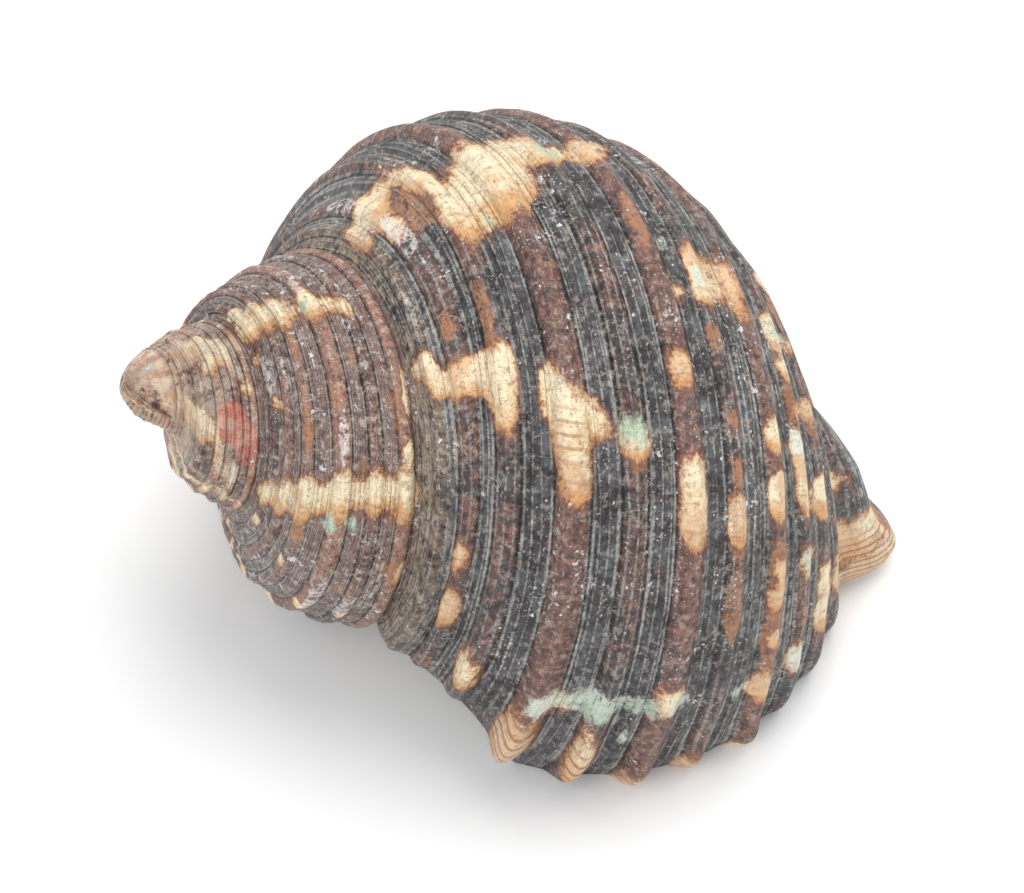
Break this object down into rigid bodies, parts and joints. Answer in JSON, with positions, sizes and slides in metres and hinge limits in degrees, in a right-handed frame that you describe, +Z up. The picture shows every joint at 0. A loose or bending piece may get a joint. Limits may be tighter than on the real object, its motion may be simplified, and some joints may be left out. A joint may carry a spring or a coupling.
{
  "type": "turban shell",
  "caption": "Turban sea snail shell lying on its mouth, with a short wound spire, rounded whorls, knobbly spiral cords and a wide open mouth.",
  "frame": {"origin": "on the surface the shell lies on, under the middle of its box", "axes": "+Z up; the spire points along -X and rises; the mouth faces down and its outer lip is on the -Y side"},
  "size_m": [0.0588, 0.0494, 0.0377],
  "materials": {
    "shell": "satin"
  },
  "bodies": {
    "root": {"turban_shell": "shell"}
  },
  "joints": []
}
